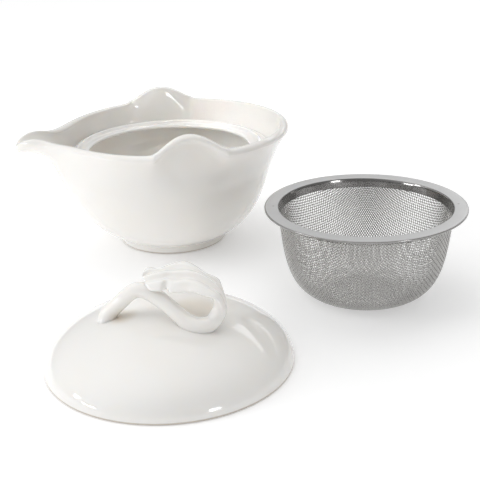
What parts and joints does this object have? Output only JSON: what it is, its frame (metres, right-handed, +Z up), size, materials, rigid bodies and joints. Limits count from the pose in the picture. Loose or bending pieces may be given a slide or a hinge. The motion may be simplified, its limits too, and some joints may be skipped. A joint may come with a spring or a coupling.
{
  "type": "handleless teapot",
  "caption": "Handleless porcelain teapot with a pouring beak and finger lugs on its rim, a domed lid with a leaf-scroll knob and a lift-out steel wire strainer",
  "frame": {"origin": "middle of the foot ring's standing face, on the table", "axes": "Z up along the bowl's axis, the beak points to -X, the lugs stand at +Y and -Y, the lid and the strainer stand on the table towards -Y"},
  "size_m": [0.2034, 0.2528, 0.071],
  "materials": {
    "porcelain": "white porcelain under a clear gloss glaze",
    "sheet_steel": "pressed stainless sheet, polished",
    "wire_cloth": "plain-woven stainless wire"
  },
  "bodies": {
    "pot": {"pot_body": "porcelain", "seat_ring": "porcelain"},
    "lid": {"lid_dome": "porcelain", "knob_stem": "porcelain", "knob_leaf": "porcelain"},
    "strainer": {"strainer_rim": "sheet_steel", "strainer_mesh": "wire_cloth"}
  },
  "joints": [
    {"name": "lid_lift", "type": "slide", "parent": "pot", "child": "lid", "axis": [0, 0, 1], "range_m": [0, 0.1]},
    {"name": "strainer_lift", "type": "slide", "parent": "pot", "child": "strainer", "axis": [0, 0, 1], "range_m": [0, 0.1]}
  ]
}
